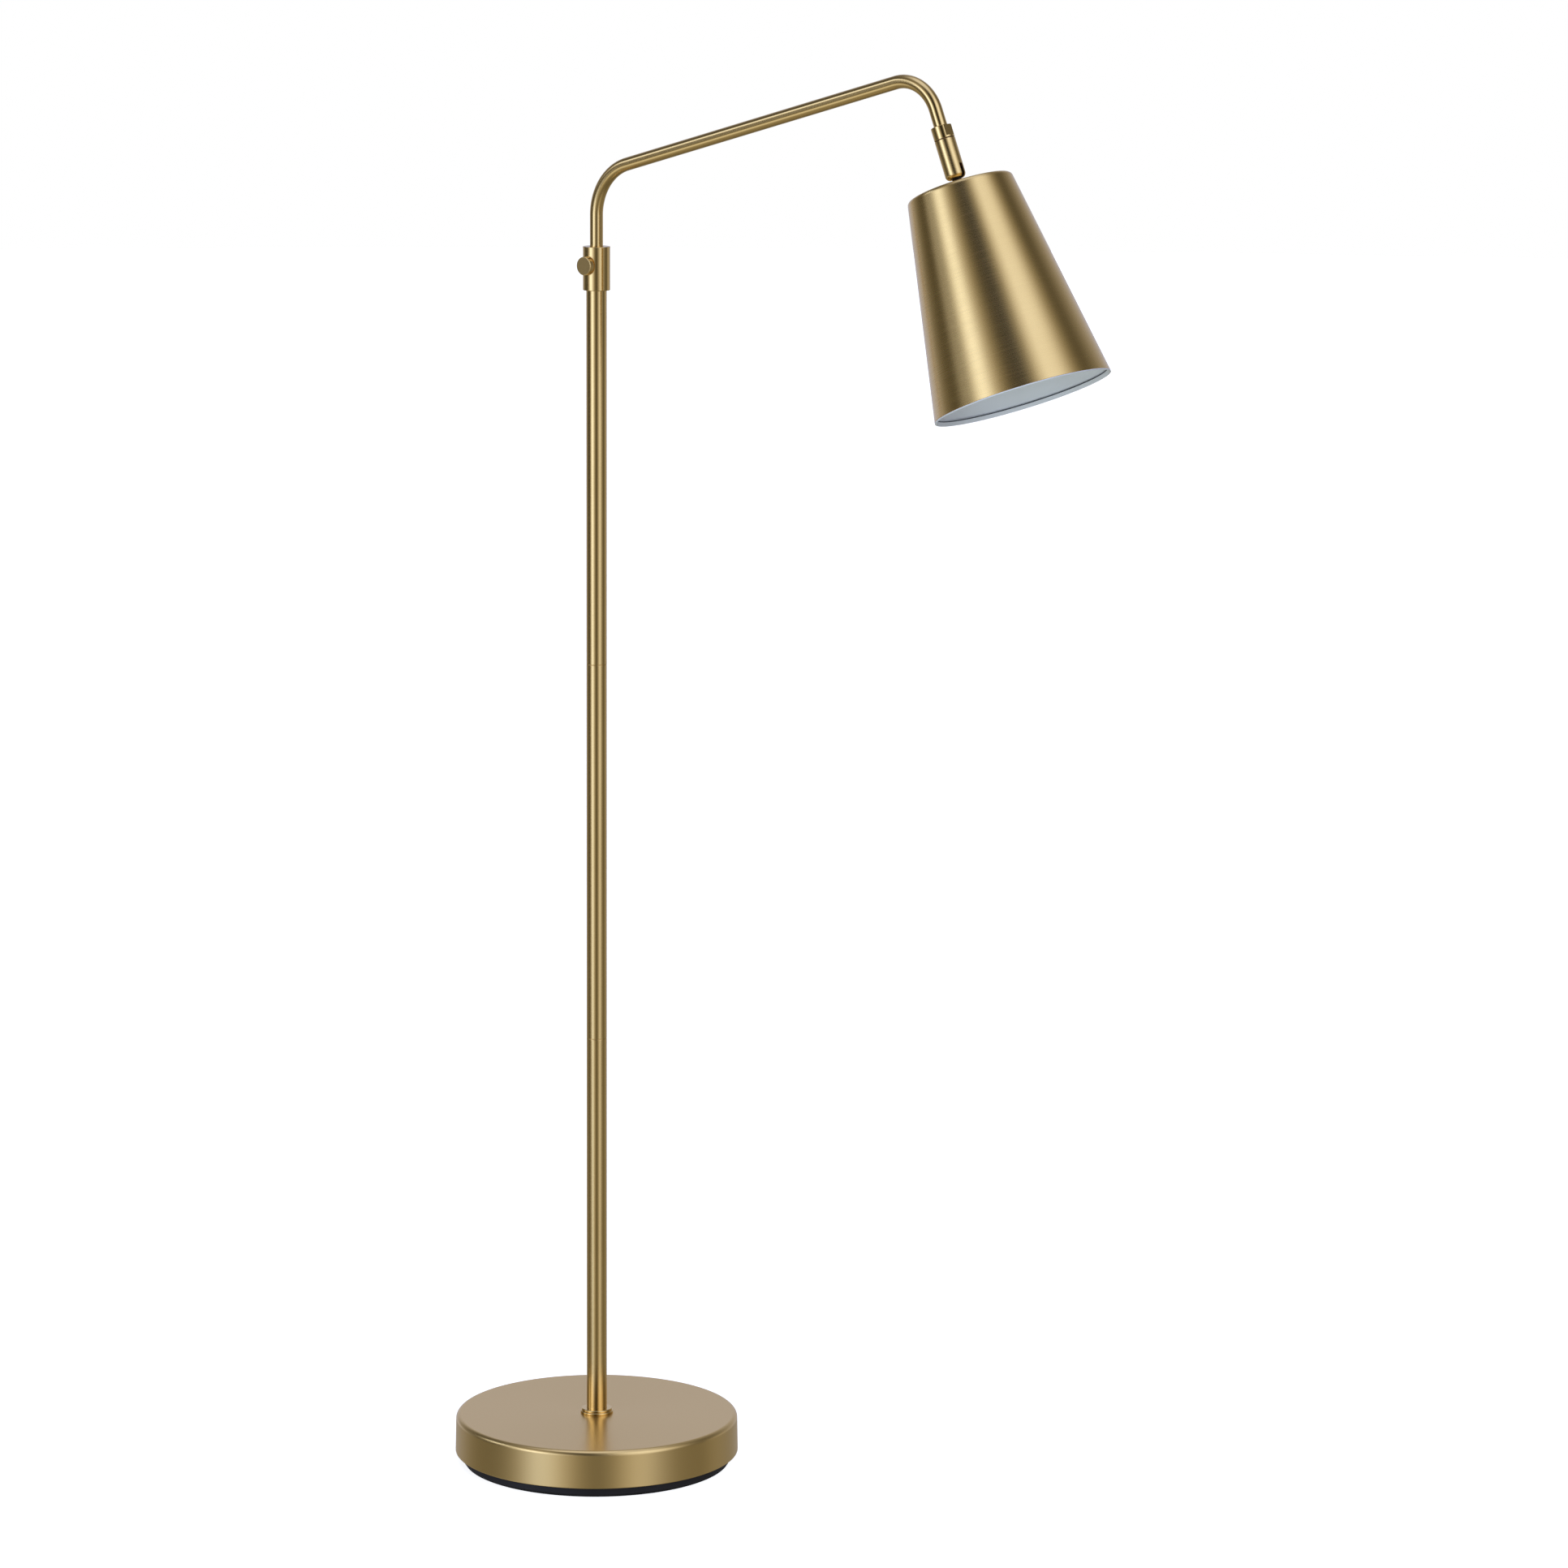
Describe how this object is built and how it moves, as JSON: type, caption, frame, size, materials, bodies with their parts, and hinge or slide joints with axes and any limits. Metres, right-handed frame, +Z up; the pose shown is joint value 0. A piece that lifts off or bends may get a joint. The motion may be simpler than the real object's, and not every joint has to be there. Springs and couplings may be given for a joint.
{
  "type": "pharmacy floor lamp",
  "caption": "Floor lamp with a weighted round base, a pole with a sliding and turning arm, and a conical shade that swivels and tilts.",
  "frame": {"origin": "centre of the underside of the base, on the floor, on the axis of the pole", "axes": "+Z up along the pole, +X along the arm as it stands, +Y to the left of the arm seen from above"},
  "size_m": [0.6952, 0.267, 1.3156],
  "materials": {
    "satin_brass": "satin, fine turned grain",
    "brushed_brass": "satin, polished and lacquered",
    "black_iron": "painted black, satin",
    "eva_pad": "matt foam",
    "zinc_steel": "zinc plated",
    "black_plastic": "moulded, matt",
    "white_nylon": "moulded, matt",
    "white_enamel": "semi-gloss paint",
    "porcelain": "glazed",
    "contact_brass": "bright stamped sheet",
    "bulb_metal": "bright rolled sheet",
    "frosted_glass": "frosted white",
    "black_steel": "blackened, satin"
  },
  "bodies": {
    "stand": {"floor_pad": "eva_pad", "base_weight": "black_iron", "base_cover": "satin_brass", "base_washer": "zinc_steel", "base_nut": "zinc_steel", "base_nipple": "zinc_steel", "base_flange": "brushed_brass", "cable_bushing": "black_plastic", "pole_foot": "zinc_steel", "lower_tube": "brushed_brass", "lower_coupler": "zinc_steel", "middle_tube": "brushed_brass", "upper_coupler": "zinc_steel", "upper_tube": "brushed_brass", "collar": "brushed_brass", "collar_bush": "white_nylon"},
    "screw_tip": {"screw_tip": "white_nylon"},
    "thumb_screw": {"thumb_screw": "satin_brass"},
    "rod_guide": {"rod_guide": "white_nylon"},
    "arm": {"rod_clips": "zinc_steel", "arm_tube": "brushed_brass", "swivel_nut": "brushed_brass", "swivel_core": "zinc_steel", "swivel_washer": "black_plastic", "swivel_clip": "zinc_steel"},
    "barrel": {"swivel_barrel": "brushed_brass", "pivot_screw": "brushed_brass", "friction_washers": "black_plastic"},
    "shade": {"shade_tongue": "black_steel", "shade_nipple": "zinc_steel", "shade": "satin_brass", "shade_washer": "zinc_steel", "shade_locknut": "zinc_steel", "holder_cap": "zinc_steel", "holder_body": "porcelain", "screw_shell": "contact_brass", "centre_contact": "contact_brass", "bulb_cap": "bulb_metal", "bulb_contact": "contact_brass", "bulb_glass": "frosted_glass"}
  },
  "joints": [
    {"name": "arm_height", "type": "slide", "parent": "stand", "child": "rod_guide", "axis": [0, 0, 1], "range_m": [0, 0.285]},
    {"name": "arm_swivel", "type": "hinge", "parent": "rod_guide", "child": "arm", "pos_m": [0, 0, 1.1068], "axis": [0, 0, 1], "range_deg": [-180, 180]},
    {"name": "screw_travel", "type": "slide", "parent": "stand", "child": "screw_tip", "axis": [0, -1, 0], "range_m": [0, 0.0015]},
    {"name": "screw_turn", "type": "hinge", "parent": "screw_tip", "child": "thumb_screw", "pos_m": [0, -0.0133, 1.1298], "axis": [0, -1, 0], "range_deg": [0, 540]},
    {"name": "barrel_swivel", "type": "hinge", "parent": "arm", "child": "barrel", "pos_m": [0.39703, 0, 1.26086], "axis": [0.3714, 0, -0.9285], "range_deg": [-175, 175]},
    {"name": "shade_tilt", "type": "hinge", "parent": "barrel", "child": "shade", "pos_m": [0.40814, 0, 1.2331], "axis": [0, 1, 0], "range_deg": [-85, 85]}
  ],
  "couplings": [
    {"joint": "screw_travel", "follows": "screw_turn", "m_per_rad": 0.00015915}
  ]
}
